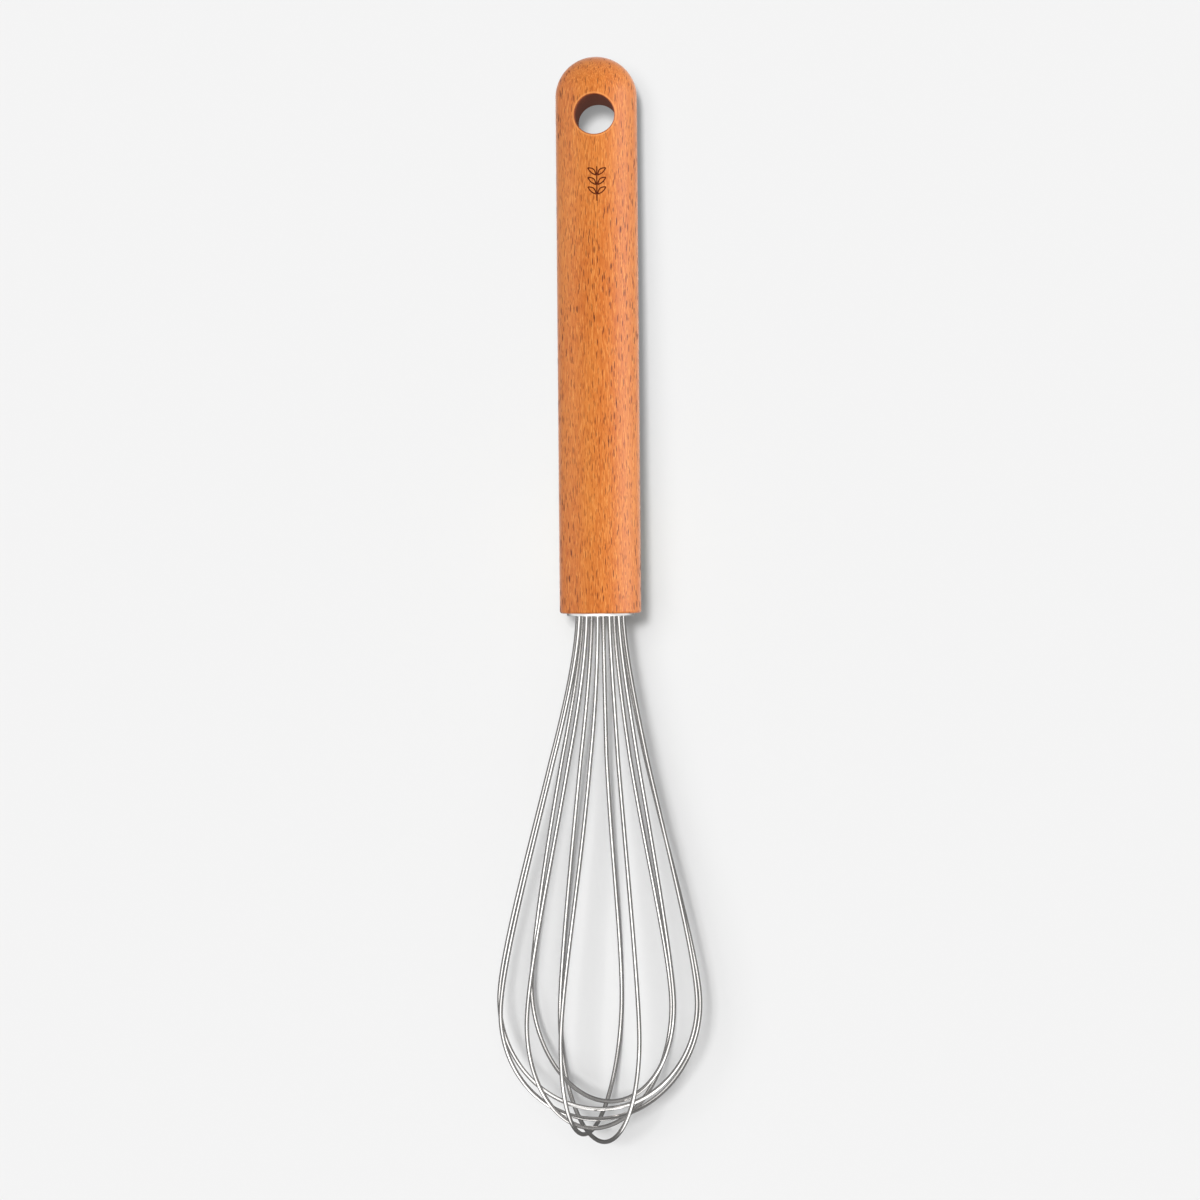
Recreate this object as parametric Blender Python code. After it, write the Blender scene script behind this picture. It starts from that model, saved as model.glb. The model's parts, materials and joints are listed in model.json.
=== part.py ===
"""Balloon whisk, 300 mm long: beech handle, steel end cap and six nested wire loops.

Each piece is shaped along the whisk's own axis: the handle's mouth is at y = 0, the handle
runs towards +Y and the wire balloon towards -Y. The whole whisk is then tipped and rolled
so that it lies on the floor as the real one does, on the handle's domed end and on the two
lowest wires.
"""
import math

import bmesh
import bpy
from mathutils import Matrix, Vector

# Handle: a turned beech dowel with a domed end, a cross hole and a blind bore at the mouth
HANDLE_R = 0.01125
HANDLE_LEN = 0.1535
MOUTH_EDGE_R = 0.0010
MOUTH_EDGE_STEPS = 3
DOME_STEPS = 10
HANDLE_SIDES = 48
BORE_R = 0.0086
BORE_DEPTH = 0.0350
SEAT_R = 0.0096
SEAT_DEPTH = 0.0023

# Hanging hole, bored across the handle and turned a little from the balloon's own set
HANG_R = 0.00545
HANG_FROM_END = 0.0171
HANG_TURN = math.radians(-3.2)
HANG_SIDES = 40

# Wire loops: one wire each, bent into a bulb, with both tails running back into the bore
WIRE_R = 0.0006
WIRE_SIDES = 8
EXIT_R = 0.0063
EXIT_SPREAD = 0.0288
FIRST_EXIT_AZIMUTH = 53.0
LEG_PITCH = 30.0
SHOULDER_AT = 0.783
NECK_REACH = 0.255
BELLY_REACH = 0.830
TAIL_LEN = 0.0300
FLARE_STEPS = 20
CROWN_STEPS = 12

# The whole balloon leans a little off the handle's axis: slopes towards X and Z, eased in
# from the mouth over BEND_LEN
BEND_X = -0.0184
BEND_Z = 0.0227
BEND_LEN = 0.0400

# One row per loop: length from the mouth, widest radius, azimuth of the bent plane in
# degrees, and how far the crown leans sideways out of that plane
LOOPS = (
    (0.1348, 0.0285, 43.6, 0.0028),
    (0.1369, 0.0284, 74.0, 0.0012),
    (0.1386, 0.0303, 115.0, -0.0056),
    (0.1415, 0.0300, 138.4, -0.0026),
    (0.1434, 0.0294, 163.6, 0.0020),
    (0.1455, 0.0306, 201.0, -0.0010),
)
LEGS = 2 * len(LOOPS)

# Steel cap pressed into the seat at the mouth, with one hole for each wire
CAP_R = 0.0093
CAP_PROUD = 0.0007
CAP_BACK = 0.0020
CAP_EDGE = 0.0003
CAP_SIDES = 48

# Core plug that the wire tails lie round, and the resin cast between it and the bore
CORE_R = 0.0050
CORE_FRONT = 0.0024
CORE_BACK = 0.0320
CORE_SIDES = 32
RESIN_R = 0.0083
RESIN_BORE_R = 0.0053
RESIN_FRONT = 0.0026
RESIN_BACK = 0.0340
RESIN_SIDES = 48
CHANNEL_R = 0.0009
CHANNEL_SIDES = 12
CUT_OVERRUN = 0.0030

# Resting attitude: balloon end up and a slight roll, then lifted on to the floor
REST_TILT = math.radians(-3.475)
REST_ROLL = math.radians(0.338)

SHARP_ANGLE = math.radians(35.0)


def clear_scene():
    """Remove every object already in the scene."""
    for obj in list(bpy.data.objects):
        bpy.data.objects.remove(obj, do_unlink=True)


def make_material(name, color, roughness, metallic):
    """Return a plain Principled material."""
    material = bpy.data.materials.new(name)
    material.use_nodes = True
    shader = material.node_tree.nodes["Principled BSDF"]
    shader.inputs["Base Color"].default_value = (*color, 1.0)
    shader.inputs["Roughness"].default_value = roughness
    shader.inputs["Metallic"].default_value = metallic
    return material


def add_object(name, bm, material=None):
    """Turn a bmesh into a named object whose faces point outwards."""
    bmesh.ops.recalc_face_normals(bm, faces=bm.faces)
    mesh = bpy.data.meshes.new(name)
    bm.to_mesh(mesh)
    bm.free()
    obj = bpy.data.objects.new(name, mesh)
    bpy.context.scene.collection.objects.link(obj)
    if material is None:
        obj.hide_render = True
        obj.display_type = "WIRE"
        return obj
    mesh.materials.append(material)
    mesh.shade_smooth()
    mesh.set_sharp_from_angle(angle=SHARP_ANGLE)
    return obj


def skin_rings(bm, rings, closed=False):
    """Join rings of vertices with quads; close the row of rings, or cap both its ends."""
    count = len(rings[0])
    last = len(rings) if closed else len(rings) - 1
    for i in range(last):
        here = rings[i]
        there = rings[(i + 1) % len(rings)]
        for j in range(count):
            k = (j + 1) % count
            bm.faces.new((here[j], here[k], there[k], there[j]))
    if not closed:
        bm.faces.new(list(reversed(rings[0])))
        bm.faces.new(rings[-1])


def add_lathe(bm, profile, sides, closed=False):
    """Turn (radius, y) points about the Y axis. Zero radius at an end makes a pole."""
    poles = {}
    rings = []
    for index, (radius, y) in enumerate(profile):
        if radius == 0.0:
            poles[index] = bm.verts.new((0.0, y, 0.0))
            continue
        ring = []
        for j in range(sides):
            angle = 2.0 * math.pi * j / sides
            ring.append(bm.verts.new((radius * math.sin(angle), y, radius * math.cos(angle))))
        rings.append(ring)
    for index, pole in poles.items():
        ring = rings[0] if index == 0 else rings[-1]
        for j in range(sides):
            bm.faces.new((pole, ring[j], ring[(j + 1) % sides]))
    if closed:
        skin_rings(bm, rings, closed=True)
        return
    for here, there in zip(rings, rings[1:]):
        for j in range(sides):
            k = (j + 1) % sides
            bm.faces.new((here[j], here[k], there[k], there[j]))


def add_rod(bm, start, end, radius, sides):
    """Add a straight rod with flat ends."""
    axis = (end - start).normalized()
    turn = Vector((0.0, 0.0, 1.0)).rotation_difference(axis).to_matrix()
    rings = []
    for point in (start, end):
        ring = []
        for j in range(sides):
            angle = 2.0 * math.pi * j / sides
            spoke = turn @ Vector((radius * math.cos(angle), radius * math.sin(angle), 0.0))
            ring.append(bm.verts.new(point + spoke))
        rings.append(ring)
    skin_rings(bm, rings)


def exit_azimuth(leg):
    """Azimuth in radians at which a leg leaves the cap; 0 is straight up."""
    return math.radians(FIRST_EXIT_AZIMUTH + LEG_PITCH * leg)


def exit_point(leg, y):
    """Point on a leg's straight run through the cap and the bore."""
    azimuth = exit_azimuth(leg)
    return Vector((EXIT_R * math.sin(azimuth), y, EXIT_R * math.cos(azimuth)))


def bezier(t, a, b, c, d):
    """Cubic Bezier value at t."""
    s = 1.0 - t
    return s * s * s * a + 3.0 * s * s * t * b + 3.0 * s * t * t * c + t * t * t * d


def half_profile(length, widest):
    """(distance, radius) points of half a loop, from the mouth to the crown."""
    shoulder = SHOULDER_AT * length
    neck = NECK_REACH * shoulder
    belly = BELLY_REACH * shoulder
    points = []
    for i in range(FLARE_STEPS):
        t = i / FLARE_STEPS
        distance = bezier(t, 0.0, neck, belly, shoulder)
        radius = bezier(t, EXIT_R, EXIT_R + EXIT_SPREAD * neck, widest, widest)
        points.append((distance, radius))
    for i in range(CROWN_STEPS + 1):
        angle = 0.5 * math.pi * i / CROWN_STEPS
        distance = shoulder + (length - shoulder) * math.sin(angle)
        points.append((distance, widest * math.cos(angle)))
    return points


def loop_path(index):
    """Centre line of one loop, from one tail round the crown to the other tail."""
    length, widest, plane_degrees, lean = LOOPS[index]
    plane = math.radians(plane_degrees)
    half = half_profile(length, widest)
    shoulder = SHOULDER_AT * length

    def place(side, distance, radius):
        part_way = min(distance / shoulder, 1.0)
        blend = part_way * part_way * (3.0 - 2.0 * part_way)
        azimuth = exit_azimuth(index) + (plane - exit_azimuth(index)) * blend
        shift = lean * (distance / length) ** 2
        bend = distance * min(distance / BEND_LEN, 1.0)
        x = side * radius * math.sin(azimuth) + shift * math.cos(plane) + BEND_X * bend
        z = side * radius * math.cos(azimuth) - shift * math.sin(plane) + BEND_Z * bend
        return Vector((x, -distance, z))

    outward = [place(1.0, distance, radius) for distance, radius in half]
    inward = [place(-1.0, distance, radius) for distance, radius in half[-2::-1]]
    first_tail = exit_point(index, TAIL_LEN)
    last_tail = exit_point(index + len(LOOPS), TAIL_LEN)
    return [first_tail] + outward + inward + [last_tail]


def add_tube(bm, path, radius, sides):
    """Sweep a round section along a path without twisting it."""
    tangents = []
    for i in range(len(path)):
        before = path[max(i - 1, 0)]
        after = path[min(i + 1, len(path) - 1)]
        tangents.append((after - before).normalized())
    spoke = tangents[0].orthogonal().normalized()
    rings = []
    for i, point in enumerate(path):
        if i > 0:
            spoke = tangents[i - 1].rotation_difference(tangents[i]) @ spoke
        spoke = (spoke - tangents[i] * spoke.dot(tangents[i])).normalized()
        side = tangents[i].cross(spoke)
        ring = []
        for j in range(sides):
            angle = 2.0 * math.pi * j / sides
            offset = spoke * math.cos(angle) + side * math.sin(angle)
            ring.append(bm.verts.new(point + offset * radius))
        rings.append(ring)
    skin_rings(bm, rings)


def cut(target, cutter):
    """Subtract one solid from another."""
    modifier = target.modifiers.new("cut_" + cutter.name, "BOOLEAN")
    modifier.operation = "DIFFERENCE"
    modifier.solver = "EXACT"
    modifier.object = cutter


def make_handle(material):
    """Beech handle: bore and seat, mouth edge, shaft, dome, then the cross hole."""
    profile = [(0.0, BORE_DEPTH), (BORE_R, BORE_DEPTH), (BORE_R, SEAT_DEPTH)]
    profile += [(SEAT_R, SEAT_DEPTH), (SEAT_R, 0.0)]
    for i in range(MOUTH_EDGE_STEPS + 1):
        angle = 0.5 * math.pi * i / MOUTH_EDGE_STEPS
        radius = HANDLE_R - MOUTH_EDGE_R * (1.0 - math.sin(angle))
        profile.append((radius, MOUTH_EDGE_R * (1.0 - math.cos(angle))))
    for i in range(DOME_STEPS):
        angle = 0.5 * math.pi * i / DOME_STEPS
        y = HANDLE_LEN - HANDLE_R * (1.0 - math.sin(angle))
        profile.append((HANDLE_R * math.cos(angle), y))
    profile.append((0.0, HANDLE_LEN))
    bm = bmesh.new()
    add_lathe(bm, profile, HANDLE_SIDES)
    handle = add_object("handle", bm, material)

    centre = Vector((0.0, HANDLE_LEN - HANG_FROM_END, 0.0))
    across = Vector((math.sin(HANG_TURN), 0.0, math.cos(HANG_TURN)))
    reach = across * (HANDLE_R + CUT_OVERRUN)
    bm = bmesh.new()
    add_rod(bm, centre - reach, centre + reach, HANG_R, HANG_SIDES)
    cutter = add_object("cutter_hanging_hole", bm)
    cut(handle, cutter)
    return handle, cutter


def make_channels(name, y_from, y_to):
    """Cutter with one channel for each wire leg."""
    bm = bmesh.new()
    for leg in range(LEGS):
        start = exit_point(leg, y_from)
        end = exit_point(leg, y_to)
        add_rod(bm, start, end, CHANNEL_R, CHANNEL_SIDES)
    return add_object(name, bm)


def make_end_cap(material):
    """Steel disc in the mouth, pierced for the wires."""
    profile = [(0.0, -CAP_PROUD), (CAP_R - CAP_EDGE, -CAP_PROUD), (CAP_R, -CAP_PROUD + CAP_EDGE)]
    profile += [(CAP_R, CAP_BACK), (0.0, CAP_BACK)]
    bm = bmesh.new()
    add_lathe(bm, profile, CAP_SIDES)
    cap = add_object("end_cap", bm, material)
    cutter = make_channels("cutter_cap_holes", -CAP_PROUD - CUT_OVERRUN, CAP_BACK + CUT_OVERRUN)
    cut(cap, cutter)
    return cap, cutter


def make_core_plug(material):
    """Plain wooden plug in the middle of the bore."""
    profile = [(0.0, CORE_FRONT), (CORE_R, CORE_FRONT), (CORE_R, CORE_BACK), (0.0, CORE_BACK)]
    bm = bmesh.new()
    add_lathe(bm, profile, CORE_SIDES)
    return add_object("core_plug", bm, material)


def make_resin(material):
    """Resin sleeve between the core plug and the bore, cast round the wire tails."""
    profile = [(RESIN_BORE_R, RESIN_FRONT), (RESIN_R, RESIN_FRONT)]
    profile += [(RESIN_R, RESIN_BACK), (RESIN_BORE_R, RESIN_BACK)]
    bm = bmesh.new()
    add_lathe(bm, profile, RESIN_SIDES, closed=True)
    resin = add_object("resin_fill", bm, material)
    cutter = make_channels("cutter_resin_channels", 0.0, TAIL_LEN + WIRE_R)
    cut(resin, cutter)
    return resin, cutter


def make_loops(material):
    """The six wire loops, shortest first."""
    loops = []
    for index in range(len(LOOPS)):
        bm = bmesh.new()
        add_tube(bm, loop_path(index), WIRE_R, WIRE_SIDES)
        loops.append(add_object("wire_loop_" + str(index + 1), bm, material))
    return loops


def lay_on_floor(pieces, cutters):
    """Tip and roll everything to the resting attitude, on the floor, centred in X and Y."""
    rest = Matrix.Rotation(REST_TILT, 4, "X") @ Matrix.Rotation(REST_ROLL, 4, "Y")
    corners = []
    for obj in pieces + cutters:
        obj.data.transform(rest)
    for obj in pieces:
        corners += [vertex.co for vertex in obj.data.vertices]
    lows = [min(point[axis] for point in corners) for axis in range(3)]
    highs = [max(point[axis] for point in corners) for axis in range(3)]
    shift = Vector((-0.5 * (lows[0] + highs[0]), -0.5 * (lows[1] + highs[1]), -lows[2]))
    for obj in pieces + cutters:
        obj.data.transform(Matrix.Translation(shift))


def main():
    """Build every piece and lay the whisk down."""
    clear_scene()
    beech = make_material("beech", (0.69, 0.36, 0.16), 0.5, 0.0)
    polished_wire = make_material("polished_wire", (0.72, 0.72, 0.70), 0.18, 1.0)
    cap_steel = make_material("cap_steel", (0.80, 0.80, 0.78), 0.35, 1.0)
    plug_wood = make_material("plug_wood", (0.62, 0.42, 0.24), 0.7, 0.0)
    resin = make_material("resin", (0.75, 0.68, 0.52), 0.4, 0.0)

    handle, hole_cutter = make_handle(beech)
    cap, cap_cutter = make_end_cap(cap_steel)
    core = make_core_plug(plug_wood)
    resin_fill, resin_cutter = make_resin(resin)
    pieces = [handle, cap, core, resin_fill] + make_loops(polished_wire)
    lay_on_floor(pieces, [hole_cutter, cap_cutter, resin_cutter])


main()
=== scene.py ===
"""Balloon whisk, seen from above as it lies on a pale floor.

The handle, cap and wires are fine meshes in the whisk's own frame (mouth of the handle at
y = 0, handle towards +Y, wire balloon towards -Y), laid down by one matrix taken from the
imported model. The two pieces inside the handle keep their CAD shapes.
"""
import json
import math

import bmesh
import bpy
from mathutils import Matrix, Vector


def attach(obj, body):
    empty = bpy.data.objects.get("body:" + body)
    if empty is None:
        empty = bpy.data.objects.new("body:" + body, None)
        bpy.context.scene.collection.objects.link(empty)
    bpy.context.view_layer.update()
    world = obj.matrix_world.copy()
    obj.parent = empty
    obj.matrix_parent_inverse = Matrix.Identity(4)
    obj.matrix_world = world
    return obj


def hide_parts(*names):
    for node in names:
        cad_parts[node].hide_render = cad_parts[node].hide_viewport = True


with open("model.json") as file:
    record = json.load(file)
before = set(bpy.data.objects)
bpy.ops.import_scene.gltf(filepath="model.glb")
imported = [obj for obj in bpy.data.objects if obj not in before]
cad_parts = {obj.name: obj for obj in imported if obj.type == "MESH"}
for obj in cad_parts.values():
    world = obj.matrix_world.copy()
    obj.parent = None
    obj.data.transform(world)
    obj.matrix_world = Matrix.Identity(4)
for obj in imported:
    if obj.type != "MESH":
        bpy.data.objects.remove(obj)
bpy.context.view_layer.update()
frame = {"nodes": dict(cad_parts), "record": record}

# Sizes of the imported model, in metres
HANDLE_R = 0.01125
HANDLE_LEN = 0.1535
BORE_R = 0.0086
BORE_DEPTH = 0.0350
SEAT_R = 0.0096
SEAT_DEPTH = 0.0023
MOUTH_EDGE_R = 0.0007
HANG_R = 0.00545
HANG_FROM_END = 0.0171
HANG_TURN = math.radians(-3.2)
WIRE_R = 0.0006
EXIT_R = 0.0063
EXIT_SPREAD = 0.0288
FIRST_EXIT_AZIMUTH = 53.0
LEG_PITCH = 30.0
SHOULDER_AT = 0.783
NECK_REACH = 0.255
BELLY_REACH = 0.830
TAIL_LEN = 0.0300
CAP_R = 0.0093
CAP_PROUD = 0.0007
CAP_BACK = 0.0020
CHANNEL_R = 0.00078
REST_TILT = math.radians(-3.475)
REST_ROLL = math.radians(0.338)
BEND_X = -0.0184
BEND_Z = 0.0227
BEND_LEN = 0.0400

# Length from the mouth, widest radius, azimuth of the bent plane, sideways lean of the crown
LOOPS = (
    (0.1348, 0.0285, 43.6, 0.0028),
    (0.1369, 0.0284, 74.0, 0.0012),
    (0.1386, 0.0303, 115.0, -0.0056),
    (0.1415, 0.0300, 138.4, -0.0026),
    (0.1434, 0.0294, 163.6, 0.0020),
    (0.1455, 0.0306, 201.0, -0.0010),
)
LEGS = 2 * len(LOOPS)

# Mesh fineness
HANDLE_SIDES = 160
HOLE_SIDES = 96
DOME_STEPS = 40
WIRE_SIDES = 20
FLARE_STEPS = 90
CROWN_STEPS = 60
RIM_ROUND = 0.00045

# Camera, in the whisk's own frame
CAMERA_DISTANCE = 0.9316
CAMERA_PITCH = math.radians(-0.540)
CAMERA_ROLL = math.radians(-0.483)
CAMERA_ASIDE = -0.00010
CAMERA_ALONG = 0.00366
CAMERA_LENS = 101.1


# ---------------------------------------------------------------- placing

def rest_matrix():
    """The whisk's own frame in the row frame, from the stated place of the hanging hole."""
    turn = Matrix.Rotation(REST_TILT, 4, "X") @ Matrix.Rotation(REST_ROLL, 4, "Y")
    hole = Vector(frame["record"]["mounts"][0]["pos_m"])
    own = Vector((0.0, HANDLE_LEN - HANG_FROM_END, 0.0))
    return Matrix.Translation(hole - turn.to_3x3() @ own) @ turn


REST = rest_matrix()


def new_piece(name, bm, material, smooth_angle=40.0):
    """A shown mesh object in the whisk's own frame."""
    bmesh.ops.recalc_face_normals(bm, faces=bm.faces)
    mesh = bpy.data.meshes.new(name)
    bm.to_mesh(mesh)
    bm.free()
    mesh.transform(REST)
    obj = bpy.data.objects.new(name, mesh)
    bpy.context.scene.collection.objects.link(obj)
    if material:
        mesh.materials.append(material)
    mesh.shade_smooth()
    mesh.set_sharp_from_angle(angle=math.radians(smooth_angle))
    return obj


# ---------------------------------------------------------------- meshes

def lathe(bm, profile, sides):
    """Turn (radius, y) points about Y; a zero radius makes a pole."""
    rings = []
    for radius, y in profile:
        if radius == 0.0:
            rings.append([bm.verts.new((0.0, y, 0.0))])
            continue
        ring = []
        for j in range(sides):
            angle = 2.0 * math.pi * j / sides
            ring.append(bm.verts.new((radius * math.sin(angle), y, radius * math.cos(angle))))
        rings.append(ring)
    for here, there in zip(rings, rings[1:]):
        for j in range(sides):
            k = (j + 1) % sides
            if len(here) == 1:
                bm.faces.new((here[0], there[k], there[j]))
            elif len(there) == 1:
                bm.faces.new((here[j], here[k], there[0]))
            else:
                bm.faces.new((here[j], here[k], there[k], there[j]))


def tube(bm, path, radius, sides):
    """Sweep a round section along a path without twisting it; flat ends."""
    tangents = []
    for i in range(len(path)):
        before = path[max(i - 1, 0)]
        after = path[min(i + 1, len(path) - 1)]
        tangents.append((after - before).normalized())
    spoke = tangents[0].orthogonal().normalized()
    rings = []
    for i, point in enumerate(path):
        if i > 0:
            spoke = tangents[i - 1].rotation_difference(tangents[i]) @ spoke
        spoke = (spoke - tangents[i] * spoke.dot(tangents[i])).normalized()
        side = tangents[i].cross(spoke)
        ring = []
        for j in range(sides):
            angle = 2.0 * math.pi * j / sides
            offset = spoke * math.cos(angle) + side * math.sin(angle)
            ring.append(bm.verts.new(point + offset * radius))
        rings.append(ring)
    for here, there in zip(rings, rings[1:]):
        for j in range(sides):
            k = (j + 1) % sides
            bm.faces.new((here[j], here[k], there[k], there[j]))
    bm.faces.new(list(reversed(rings[0])))
    bm.faces.new(rings[-1])


def apply_modifiers(obj):
    """Bake the modifiers into the mesh."""
    deps = bpy.context.evaluated_depsgraph_get()
    mesh = bpy.data.meshes.new_from_object(obj.evaluated_get(deps))
    obj.modifiers.clear()
    obj.data = mesh


def subtract(obj, cutter_bm):
    """Cut a solid out of obj."""
    cutter_mesh = bpy.data.meshes.new("cutter")
    bmesh.ops.recalc_face_normals(cutter_bm, faces=cutter_bm.faces)
    cutter_bm.to_mesh(cutter_mesh)
    cutter_bm.free()
    cutter_mesh.transform(REST)
    cutter = bpy.data.objects.new("cutter", cutter_mesh)
    bpy.context.scene.collection.objects.link(cutter)
    modifier = obj.modifiers.new("cut", "BOOLEAN")
    modifier.operation = "DIFFERENCE"
    modifier.solver = "EXACT"
    modifier.object = cutter
    bpy.context.view_layer.update()
    apply_modifiers(obj)
    bpy.data.objects.remove(cutter, do_unlink=True)


def round_edges(obj, width, segments, angle):
    """Bevel the edges sharper than angle."""
    modifier = obj.modifiers.new("round", "BEVEL")
    modifier.width = width
    modifier.segments = segments
    modifier.limit_method = "ANGLE"
    modifier.angle_limit = math.radians(angle)
    modifier.harden_normals = False
    bpy.context.view_layer.update()
    apply_modifiers(obj)


def exit_azimuth(leg):
    """Azimuth in radians at which a leg leaves the cap; 0 is straight up."""
    return math.radians(FIRST_EXIT_AZIMUTH + LEG_PITCH * leg)


def exit_point(leg, y):
    """Point on a leg's straight run through the cap and the bore."""
    azimuth = exit_azimuth(leg)
    return Vector((EXIT_R * math.sin(azimuth), y, EXIT_R * math.cos(azimuth)))


def bezier(t, a, b, c, d):
    """Cubic Bezier value at t."""
    s = 1.0 - t
    return s * s * s * a + 3.0 * s * s * t * b + 3.0 * s * t * t * c + t * t * t * d


def loop_path(index):
    """Centre line of one loop, from one tail round the crown to the other tail."""
    length, widest, plane_degrees, lean = LOOPS[index]
    plane = math.radians(plane_degrees)
    shoulder = SHOULDER_AT * length
    neck = NECK_REACH * shoulder
    belly = BELLY_REACH * shoulder
    half = []
    for i in range(FLARE_STEPS):
        t = i / FLARE_STEPS
        radius = bezier(t, EXIT_R, EXIT_R + EXIT_SPREAD * neck, widest, widest)
        half.append((bezier(t, 0.0, neck, belly, shoulder), radius))
    for i in range(CROWN_STEPS + 1):
        angle = 0.5 * math.pi * i / CROWN_STEPS
        half.append((shoulder + (length - shoulder) * math.sin(angle), widest * math.cos(angle)))

    def place(side, distance, radius):
        part_way = min(distance / shoulder, 1.0)
        blend = part_way * part_way * (3.0 - 2.0 * part_way)
        azimuth = exit_azimuth(index) + (plane - exit_azimuth(index)) * blend
        shift = lean * (distance / length) ** 2
        bend = distance * min(distance / BEND_LEN, 1.0)
        x = side * radius * math.sin(azimuth) + shift * math.cos(plane) + BEND_X * bend
        z = side * radius * math.cos(azimuth) - shift * math.sin(plane) + BEND_Z * bend
        return Vector((x, -distance, z))

    outward = [place(1.0, distance, radius) for distance, radius in half]
    inward = [place(-1.0, distance, radius) for distance, radius in half[-2::-1]]
    return [exit_point(index, TAIL_LEN)] + outward + inward + [exit_point(index + 6, TAIL_LEN)]


# ---------------------------------------------------------------- node helpers

class Nodes:
    """Small helper that adds nodes and links them by name."""

    def __init__(self, tree):
        self.tree = tree

    def add(self, kind, inputs=None, **settings):
        node = self.tree.nodes.new(kind)
        for key, value in settings.items():
            setattr(node, key, value)
        for key, value in (inputs or {}).items():
            if isinstance(value, bpy.types.NodeSocket):
                self.tree.links.new(value, node.inputs[key])
            else:
                node.inputs[key].default_value = value
        return node

    def math(self, operation, a, b=0.0, c=0.0):
        return self.add("ShaderNodeMath", {0: a, 1: b, 2: c}, operation=operation).outputs[0]

    def band(self, value, low, high, out_low=0.0, out_high=1.0):
        """Smooth step of value between low and high."""
        node = self.add("ShaderNodeMapRange", {
            "Value": value, "From Min": low, "From Max": high, "To Min": out_low, "To Max": out_high,
        }, interpolation_type="SMOOTHSTEP")
        return node.outputs["Result"]

    def mix(self, factor, a, b, blend="MIX"):
        node = self.add("ShaderNodeMix", data_type="RGBA", blend_type=blend)
        for key, value in ((0, factor), (6, a), (7, b)):
            if isinstance(value, bpy.types.NodeSocket):
                self.tree.links.new(value, node.inputs[key])
            else:
                node.inputs[key].default_value = value
        return node.outputs[2]

    def own_place(self):
        """Surface point in the whisk's own frame."""
        point = self.add("ShaderNodeTexCoord").outputs["Object"]
        node = self.add("ShaderNodeMapping", {
            "Vector": point, "Location": REST.translation, "Rotation": REST.to_euler(),
        }, vector_type="TEXTURE")
        return node.outputs["Vector"]

    def stretch(self, vector, scale, offset=(0.0, 0.0, 0.0)):
        node = self.add("ShaderNodeMapping", {"Vector": vector, "Scale": scale, "Location": offset})
        return node.outputs["Vector"]


def new_material(name):
    """A material with an empty Principled shader, and its helper."""
    material = bpy.data.materials.new(name)
    material.use_nodes = True
    shader = material.node_tree.nodes["Principled BSDF"]
    return material, shader, Nodes(material.node_tree)


def rgb(red, green, blue):
    """Linear colour from 8-bit sRGB numbers."""
    out = []
    for value in (red, green, blue):
        v = value / 255.0
        out.append(v / 12.92 if v <= 0.04045 else ((v + 0.055) / 1.055) ** 2.4)
    return (*out, 1.0)


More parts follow.
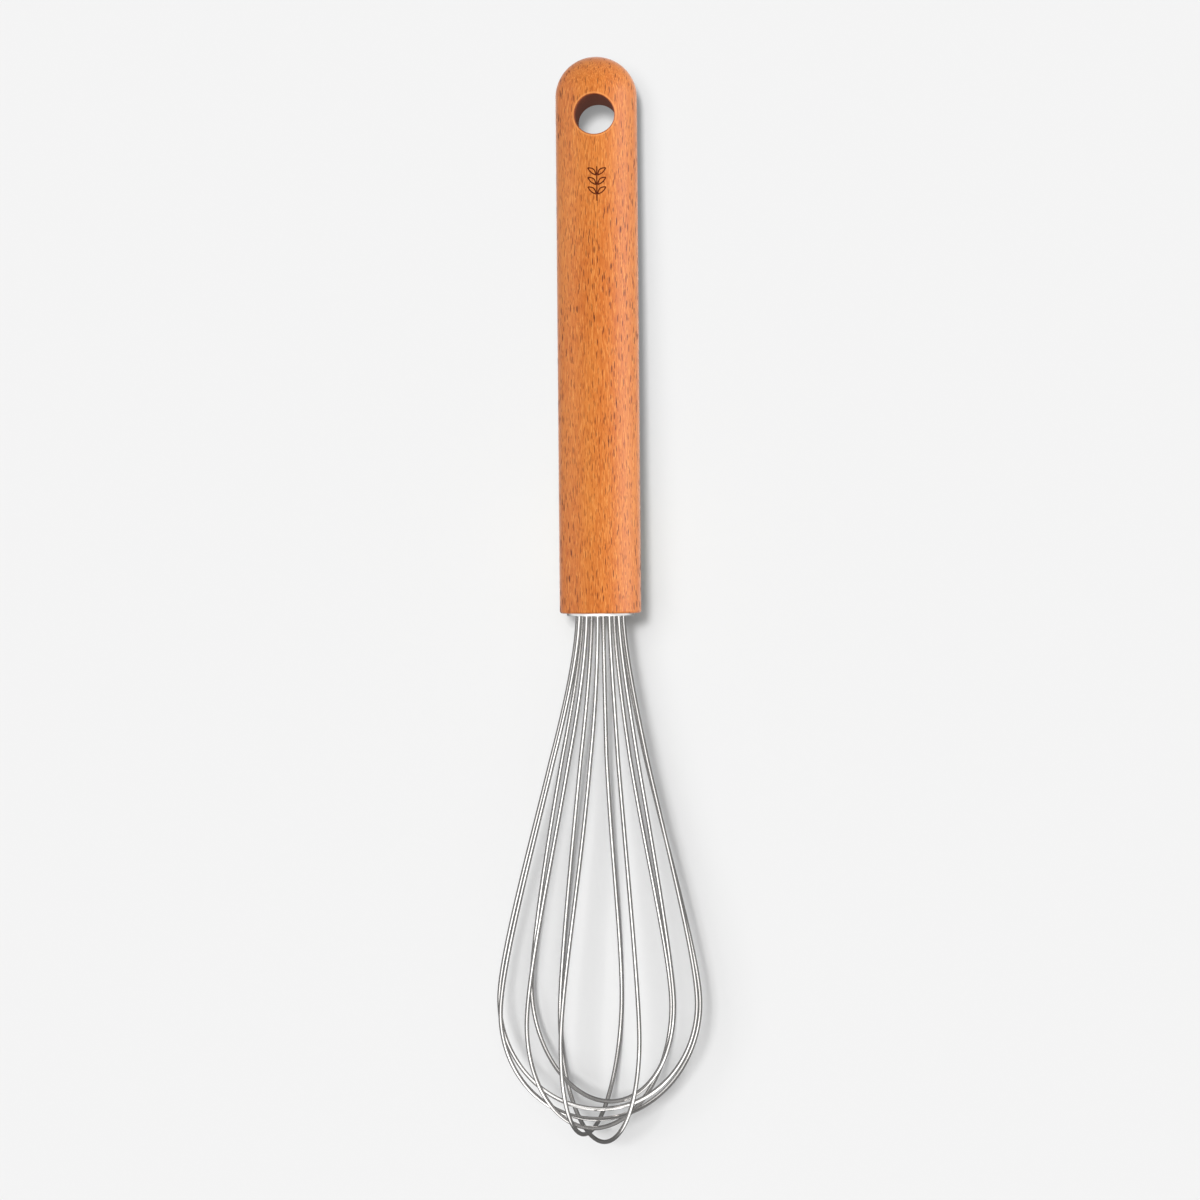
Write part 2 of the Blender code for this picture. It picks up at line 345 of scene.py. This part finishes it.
def beech_material(name, along_scale=1.0, dark=1.0):
    """Oiled beech: warm ground, growth rings, fine pores and short dark ray flecks."""
    material, shader, n = new_material(name)
    place = n.own_place()

    # slow warp so that the lines wander a little
    warp = n.add("ShaderNodeTexNoise", {"Vector": n.stretch(place, (70.0, 14.0, 70.0)), "Scale": 1.0, "Detail": 2.0})
    centred = n.add("ShaderNodeVectorMath", {0: warp.outputs["Color"], 1: (0.5, 0.5, 0.5)}, operation="SUBTRACT")
    shift = n.add("ShaderNodeVectorMath", {0: centred.outputs[0], 1: (0.0016, 0.004, 0.0016)}, operation="MULTIPLY")
    warped = n.add("ShaderNodeVectorMath", {0: place, 1: shift.outputs[0]}, operation="ADD").outputs[0]

    # growth rings about a pith outside the handle
    rings_at = n.add("ShaderNodeVectorMath", {0: warped, 1: (0.031, 0.0, -0.024)}, operation="SUBTRACT").outputs[0]
    flat = n.add("ShaderNodeVectorMath", {0: rings_at, 1: (1.0, 0.12, 1.0)}, operation="MULTIPLY").outputs[0]
    radius = n.add("ShaderNodeVectorMath", {0: flat}, operation="LENGTH").outputs["Value"]
    saw = n.math("SINE", n.math("MULTIPLY", radius, 2.0 * math.pi / 0.0029))
    ring = n.band(saw, -0.4, 1.0)

    tone = n.add("ShaderNodeTexNoise", {
        "Vector": n.stretch(place, (95.0, 22.0, 95.0), (3.1, 0.7, 1.9)), "Scale": 1.0, "Detail": 3.0}).outputs["Fac"]
    fibre = n.add("ShaderNodeTexNoise", {
        "Vector": n.stretch(warped, (4000.0, 330.0, 4000.0)), "Scale": 1.0, "Detail": 3.0, "Roughness": 0.6}).outputs["Fac"]

    # ray flecks: long narrow cells, dark near each cell's point
    flecks = n.add("ShaderNodeTexVoronoi", {
        "Vector": n.stretch(warped, (2000.0, 210.0, 420.0)), "Scale": 1.0, "Randomness": 1.0}).outputs["Distance"]
    big = n.band(flecks, 0.26, 0.19)
    fine_cells = n.add("ShaderNodeTexVoronoi", {
        "Vector": n.stretch(warped, (2700.0, 460.0, 800.0), (0.37, 0.11, 0.83)), "Scale": 1.0}).outputs["Distance"]
    small = n.band(fine_cells, 0.30, 0.17)
    big = n.math("MULTIPLY", big, n.band(tone, 0.36, 0.62, 0.5, 1.0))

    ground = n.mix(n.band(tone, 0.3, 0.7), rgb(198, 116, 47), rgb(190, 104, 39))
    ground = n.mix(n.math("MULTIPLY", ring, 0.22), ground, rgb(178, 88, 27))
    ground = n.mix(n.math("MULTIPLY", n.band(fibre, 0.50, 0.66), 0.60), ground, rgb(216, 144, 74))
    ground = n.mix(n.math("MULTIPLY", n.band(fibre, 0.50, 0.34), 0.55), ground, rgb(160, 80, 24))
    ground = n.mix(n.math("MULTIPLY", small, 0.6), ground, rgb(122, 48, 12))
    colour = n.mix(n.math("MULTIPLY", big, 0.95), ground, rgb(80, 26, 5))

    # painted shade and highlight: the wall of the cross hole is painted darker and redder as shade, and its rounded rim
    # is painted lighter as a highlight
    lean = (math.cos(HANG_TURN), 0.0, -math.sin(HANG_TURN))
    from_hole = n.add("ShaderNodeVectorMath", {0: place, 1: (0.0, HANDLE_LEN - HANG_FROM_END, 0.0)},
                      operation="SUBTRACT").outputs[0]
    aside = n.add("ShaderNodeVectorMath", {0: from_hole, 1: lean}, operation="DOT_PRODUCT").outputs["Value"]
    along = n.add("ShaderNodeSeparateXYZ", {"Vector": from_hole}).outputs["Y"]
    reach = n.math("SQRT", n.math("ADD", n.math("MULTIPLY", aside, aside), n.math("MULTIPLY", along, along)))
    # painted highlight: a lighter ring painted on the rounded rim of the cross hole
    rim = n.math("MULTIPLY", n.band(reach, HANG_R + 0.0008, HANG_R + 0.0005), 0.40)
    colour = n.mix(rim, colour, rgb(226, 150, 84))
    # painted shade: the wall inside the cross hole painted darker and redder, as the shade of the recess, and kept free
    # of sheen
    inside = n.band(reach, HANG_R + 0.0003, HANG_R + 0.0001)
    colour = n.mix(n.math("MULTIPLY", inside, 0.90), colour, rgb(126, 50, 15))
    n.tree.links.new(colour, shader.inputs["Base Color"])

    rough = n.band(fibre, 0.2, 0.8, 0.50, 0.64)
    n.tree.links.new(rough, shader.inputs["Roughness"])
    shader.inputs["Specular IOR Level"].default_value = 0.42
    bare = n.math("SUBTRACT", 1.0, n.math("MAXIMUM", inside, big))
    n.tree.links.new(n.math("MULTIPLY", bare, 0.45), shader.inputs["Sheen Weight"])
    shader.inputs["Sheen Roughness"].default_value = 0.30

    height = n.math("SUBTRACT", n.math("MULTIPLY", fibre, 0.5), n.math("MULTIPLY", big, 0.6))
    bump = n.add("ShaderNodeBump", {"Height": height, "Strength": 0.3, "Distance": 0.0001})
    n.tree.links.new(bump.outputs["Normal"], shader.inputs["Normal"])
    return material


def steel_material(name, color, roughness, streak, lengthwise=True):
    """Drawn or pressed steel with fine streaks in gloss and height."""
    material, shader, n = new_material(name)
    place = n.own_place()
    scale = (2600.0, 110.0, 2600.0) if lengthwise else (900.0, 900.0, 900.0)
    lines = n.add("ShaderNodeTexNoise", {"Vector": n.stretch(place, scale), "Scale": 1.0, "Detail": 2.0}).outputs["Fac"]
    stain = n.add("ShaderNodeTexNoise", {"Vector": n.stretch(place, (160.0, 60.0, 160.0)), "Scale": 1.0}).outputs["Fac"]
    darker = tuple(c * 0.86 for c in color[:3]) + (1.0,)
    n.tree.links.new(n.mix(n.band(stain, 0.3, 0.7), color, darker), shader.inputs["Base Color"])
    n.tree.links.new(n.band(lines, 0.25, 0.75, roughness, roughness + streak), shader.inputs["Roughness"])
    bump = n.add("ShaderNodeBump", {"Height": lines, "Strength": 0.08, "Distance": 0.00002})
    n.tree.links.new(bump.outputs["Normal"], shader.inputs["Normal"])
    shader.inputs["Metallic"].default_value = 1.0
    return material


def burnt_material():
    """Scorched wood of the burnt mark, browner where the iron pressed lightly."""
    material, shader, n = new_material("burnt_wood")
    place = n.own_place()
    patch = n.add("ShaderNodeTexNoise", {
        "Vector": n.stretch(place, (1500.0, 700.0, 1500.0)), "Scale": 1.0, "Detail": 2.0}).outputs["Fac"]
    colour = n.mix(n.band(patch, 0.35, 0.68), rgb(66, 20, 4), rgb(98, 38, 12))
    n.tree.links.new(colour, shader.inputs["Base Color"])
    n.tree.links.new(n.band(patch, 0.3, 0.7, 0.6, 0.85), shader.inputs["Roughness"])
    shader.inputs["Specular IOR Level"].default_value = 0.2
    return material


def resin_material():
    """Cast resin with faint clouding."""
    material, shader, n = new_material("resin")
    place = n.own_place()
    cloud = n.add("ShaderNodeTexNoise", {"Vector": n.stretch(place, (240.0, 240.0, 240.0)), "Scale": 1.0}).outputs["Fac"]
    n.tree.links.new(n.mix(cloud, rgb(222, 214, 190), rgb(205, 192, 160)), shader.inputs["Base Color"])
    n.tree.links.new(n.band(cloud, 0.3, 0.7, 0.3, 0.5), shader.inputs["Roughness"])
    return material


# ---------------------------------------------------------------- pieces

def make_handle(material):
    """Turned handle with its bore, seat, rounded mouth, dome and cross hole."""
    profile = [(0.0, BORE_DEPTH), (BORE_R, BORE_DEPTH), (BORE_R, SEAT_DEPTH)]
    profile += [(SEAT_R, SEAT_DEPTH), (SEAT_R, 0.0)]
    for i in range(7):
        angle = 0.5 * math.pi * i / 6
        radius = HANDLE_R - MOUTH_EDGE_R * (1.0 - math.sin(angle))
        profile.append((radius, MOUTH_EDGE_R * (1.0 - math.cos(angle))))
    straight = HANDLE_LEN - HANDLE_R
    steps = 70
    for i in range(1, steps):
        profile.append((HANDLE_R, MOUTH_EDGE_R + (straight - MOUTH_EDGE_R) * i / steps))
    for i in range(DOME_STEPS):
        angle = 0.5 * math.pi * i / DOME_STEPS
        profile.append((HANDLE_R * math.cos(angle), straight + HANDLE_R * math.sin(angle)))
    profile.append((0.0, HANDLE_LEN))
    bm = bmesh.new()
    lathe(bm, profile, HANDLE_SIDES)
    handle = new_piece("handle_beech", bm, material, 50.0)

    centre = Vector((0.0, HANDLE_LEN - HANG_FROM_END, 0.0))
    across = Vector((math.sin(HANG_TURN), 0.0, math.cos(HANG_TURN)))
    path = [centre + across * (0.0145 * (i / 20.0 - 1.0)) for i in range(41)]
    bm = bmesh.new()
    tube(bm, path, HANG_R, HOLE_SIDES)
    subtract(handle, bm)
    round_edges(handle, RIM_ROUND, 4, 48.0)
    handle.data.shade_smooth()
    handle.data.set_sharp_from_angle(angle=math.radians(50.0))
    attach(handle, "root")
    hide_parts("handle")
    handle.visible_diffuse = False
    return handle


def make_cap(material):
    """Pressed steel disc with a soft rim and a hole for each wire."""
    edge = 0.00035
    profile = [(0.0, -CAP_PROUD)]
    for i in range(9):
        angle = 0.5 * math.pi * i / 8
        profile.append((CAP_R - edge + edge * math.sin(angle), -CAP_PROUD + edge * (1.0 - math.cos(angle))))
    profile += [(CAP_R, CAP_BACK), (0.0, CAP_BACK)]
    bm = bmesh.new()
    lathe(bm, profile, 128)
    cap = new_piece("end_cap_steel", bm, material)
    bm = bmesh.new()
    for leg in range(LEGS):
        tube(bm, [exit_point(leg, -0.004), exit_point(leg, 0.005)], CHANNEL_R, 32)
    subtract(cap, bm)
    cap.data.shade_smooth()
    cap.data.set_sharp_from_angle(angle=math.radians(40.0))
    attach(cap, "root")
    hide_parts("end_cap")
    return cap


def make_wires(material):
    """The six loops of polished wire."""
    wires = []
    for index in range(len(LOOPS)):
        bm = bmesh.new()
        tube(bm, loop_path(index), WIRE_R, WIRE_SIDES)
        name = "wire_loop_" + str(index + 1)
        wire = new_piece(name + "_polished", bm, material, 60.0)
        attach(wire, "root")
        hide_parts(name)
        wires.append(wire)
    return wires


def stroke(bm, points, width):
    """A burnt line: a thin strip let into the handle's surface, from (across, along) points."""
    top = HANDLE_R + 0.00002
    bottom = HANDLE_R - 0.00025
    rows = []
    for i, point in enumerate(points):
        before = points[max(i - 1, 0)]
        after = points[min(i + 1, len(points) - 1)]
        dx, dy = after[0] - before[0], after[1] - before[1]
        size = math.hypot(dx, dy)
        nx, ny = -dy / size * 0.5 * width, dx / size * 0.5 * width
        row = []
        for sign, radius in ((1, bottom), (1, top), (-1, top), (-1, bottom)):
            angle = (point[0] + sign * nx) / HANDLE_R
            row.append(bm.verts.new((radius * math.sin(angle), point[1] + sign * ny, radius * math.cos(angle))))
        rows.append(row)
    for here, there in zip(rows, rows[1:]):
        for j in range(4):
            k = (j + 1) % 4
            bm.faces.new((here[j], here[k], there[k], there[j]))
    bm.faces.new(list(reversed(rows[0])))
    bm.faces.new(rows[-1])


def make_mark(material):
    """Small burnt sprig near the hanging hole: a stem with paired leaves, drawn in outline."""
    bm = bmesh.new()
    base = 0.1127
    width = 0.00034
    stem = [(0.0, base + 0.0094 * i / 24.0) for i in range(25)]
    stroke(bm, stem, width)
    for side in (-1.0, 1.0):
        for row in range(3):
            root_y = base + 0.0018 + 0.0026 * row
            for bulge in (0.00075, -0.00035):
                leaf = []
                for i in range(17):
                    t = i / 16.0
                    along = 0.0030 * t
                    out = bulge * math.sin(math.pi * t)
                    lean = math.radians(48.0)
                    ax = along * math.sin(lean) - out * math.cos(lean)
                    ay = along * math.cos(lean) + out * math.sin(lean)
                    leaf.append((side * (0.00025 + ax), root_y + ay))
                stroke(bm, leaf, width)
    mark = new_piece("burnt_mark", bm, material, 30.0)
    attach(mark, "root")
    return mark


def dress_inner(node, material):
    """Give a hidden CAD node its material."""
    obj = frame["nodes"][node]
    obj.data.materials.clear()
    obj.data.materials.append(material)


# ---------------------------------------------------------------- stage

def make_floor():
    """Plain pale floor under the whisk."""
    material, shader, n = new_material("pale_floor")
    shader.inputs["Base Color"].default_value = (0.80, 0.80, 0.80, 1.0)
    shader.inputs["Roughness"].default_value = 0.9
    shader.inputs["Specular IOR Level"].default_value = 0.0
    bm = bmesh.new()
    bmesh.ops.create_grid(bm, x_segments=1, y_segments=1, size=3.0)
    mesh = bpy.data.meshes.new("floor")
    bm.to_mesh(mesh)
    bm.free()
    floor = bpy.data.objects.new("floor", mesh)
    bpy.context.scene.collection.objects.link(floor)
    floor.location = (0.0, 0.0, -0.0002)
    mesh.materials.append(material)
    floor.visible_glossy = False
    return floor


def make_world():
    """Dim room, brighter overhead, so that the steel has light and dark to mirror."""
    world = bpy.data.worlds.new("studio")
    bpy.context.scene.world = world
    world.use_nodes = True
    n = Nodes(world.node_tree)
    direction = n.add("ShaderNodeTexCoord").outputs["Generated"]
    up = n.add("ShaderNodeSeparateXYZ", {"Vector": direction}).outputs["Z"]
    overhead = n.band(up, 0.55, 0.95, 0.0, 0.20)
    horizon = n.band(n.math("ABSOLUTE", up), 0.0, 0.55, 0.40, 0.15)
    level = n.math("ADD", overhead, horizon)
    background = world.node_tree.nodes["Background"]
    background.inputs["Color"].default_value = (1.0, 1.0, 1.0, 1.0)
    world.node_tree.links.new(level, background.inputs["Strength"])


def group(name, objects):
    """A collection of objects, for a light to be kept to."""
    made = bpy.data.collections.new(name)
    for obj in objects:
        made.objects.link(obj)
    return made


def add_sun(name, energy, size_degrees, place, receivers, color=(1.0, 1.0, 1.0), mirrored=True):
    """A distant soft light shining from place towards the origin, on the receivers alone."""
    light = bpy.data.lights.new(name, "SUN")
    light.energy = energy
    light.color = color
    light.angle = math.radians(size_degrees)
    obj = bpy.data.objects.new(name, light)
    bpy.context.scene.collection.objects.link(obj)
    obj.rotation_euler = (-Vector(place)).to_track_quat("-Z", "Y").to_euler()
    obj.light_linking.receiver_collection = receivers
    obj.visible_glossy = mirrored


def make_lights(floor, wooden, cap, wires):
    """Near-vertical keys from the upper left; side fills for the wood, broad soft lights for the steel."""
    matt = group("lit_by_keys", [floor] + wooden)
    add_sun("key", 1.64, 8.0, (-0.12, 0.20, 1.0), matt, mirrored=False)
    add_sun("key_wide", 1.20, 34.0, (-0.20, 0.19, 1.0), matt, mirrored=False)

    wood = group("lit_by_fills", wooden)
    cool = (0.97, 1.05, 1.22)
    add_sun("fill_right", 3.0, 44.0, (0.96, 0.05, 0.26), wood, cool)
    add_sun("fill_left", 0.85, 50.0, (-0.97, 0.10, 0.24), wood, cool)

    steel = group("lit_by_softboxes", [cap] + wires)
    add_sun("softbox", 1.25, 63.0, (-0.10, 0.05, 1.0), steel)
    add_sun("softbox_crown", 1.35, 66.0, (-0.06, -0.95, 1.0), steel)
    add_sun("softbox_neck", 0.90, 60.0, (-0.06, 1.00, 1.0), steel)
    add_sun("softbox_low", 1.05, 62.0, (0.0, -1.0, 0.20), steel)

    mouth = group("lit_at_the_mouth", [cap])
    add_sun("mouth_left", 1.3, 90.0, (-0.9, -0.3, 0.25), mouth)
    add_sun("mouth_right", 1.3, 90.0, (0.9, -0.3, 0.25), mouth)


def make_camera():
    """Camera almost square to the whisk's own axis, the width of the balloon filling a sixth."""
    camera = bpy.data.cameras.new("camera")
    camera.sensor_width = 36.0
    camera.lens = CAMERA_LENS
    camera.clip_start = 0.01
    camera.clip_end = 20.0
    obj = bpy.data.objects.new("camera", camera)
    bpy.context.scene.collection.objects.link(obj)
    across = Vector((1.0, 0.0, 0.0))
    down = Vector((0.0, -math.cos(CAMERA_PITCH), -math.sin(CAMERA_PITCH)))
    back = Vector((0.0, -math.sin(CAMERA_PITCH), math.cos(CAMERA_PITCH)))
    right = across * math.cos(CAMERA_ROLL) - down * math.sin(CAMERA_ROLL)
    image_down = across * math.sin(CAMERA_ROLL) + down * math.cos(CAMERA_ROLL)
    place = across * CAMERA_ASIDE - down * CAMERA_ALONG + back * CAMERA_DISTANCE
    local = Matrix((
        (right.x, -image_down.x, back.x, place.x),
        (right.y, -image_down.y, back.y, place.y),
        (right.z, -image_down.z, back.z, place.z),
        (0.0, 0.0, 0.0, 1.0),
    ))
    obj.matrix_world = REST @ local
    bpy.context.scene.camera = obj


make_camera()
handle = make_handle(beech_material("oiled_beech"))
mark = make_mark(burnt_material())
cap = make_cap(steel_material("pressed_steel", (0.90, 0.90, 0.89, 1.0), 0.38, 0.12, False))
wires = make_wires(steel_material("polished_wire", (0.78, 0.76, 0.74, 1.0), 0.10, 0.10))
dress_inner("core_plug", beech_material("plug_beech"))
dress_inner("resin_fill", resin_material())
floor = make_floor()
make_world()
make_lights(floor, [handle, mark], cap, wires)

scene = bpy.context.scene
scene.view_settings.view_transform = "Standard"
scene.view_settings.look = "None"
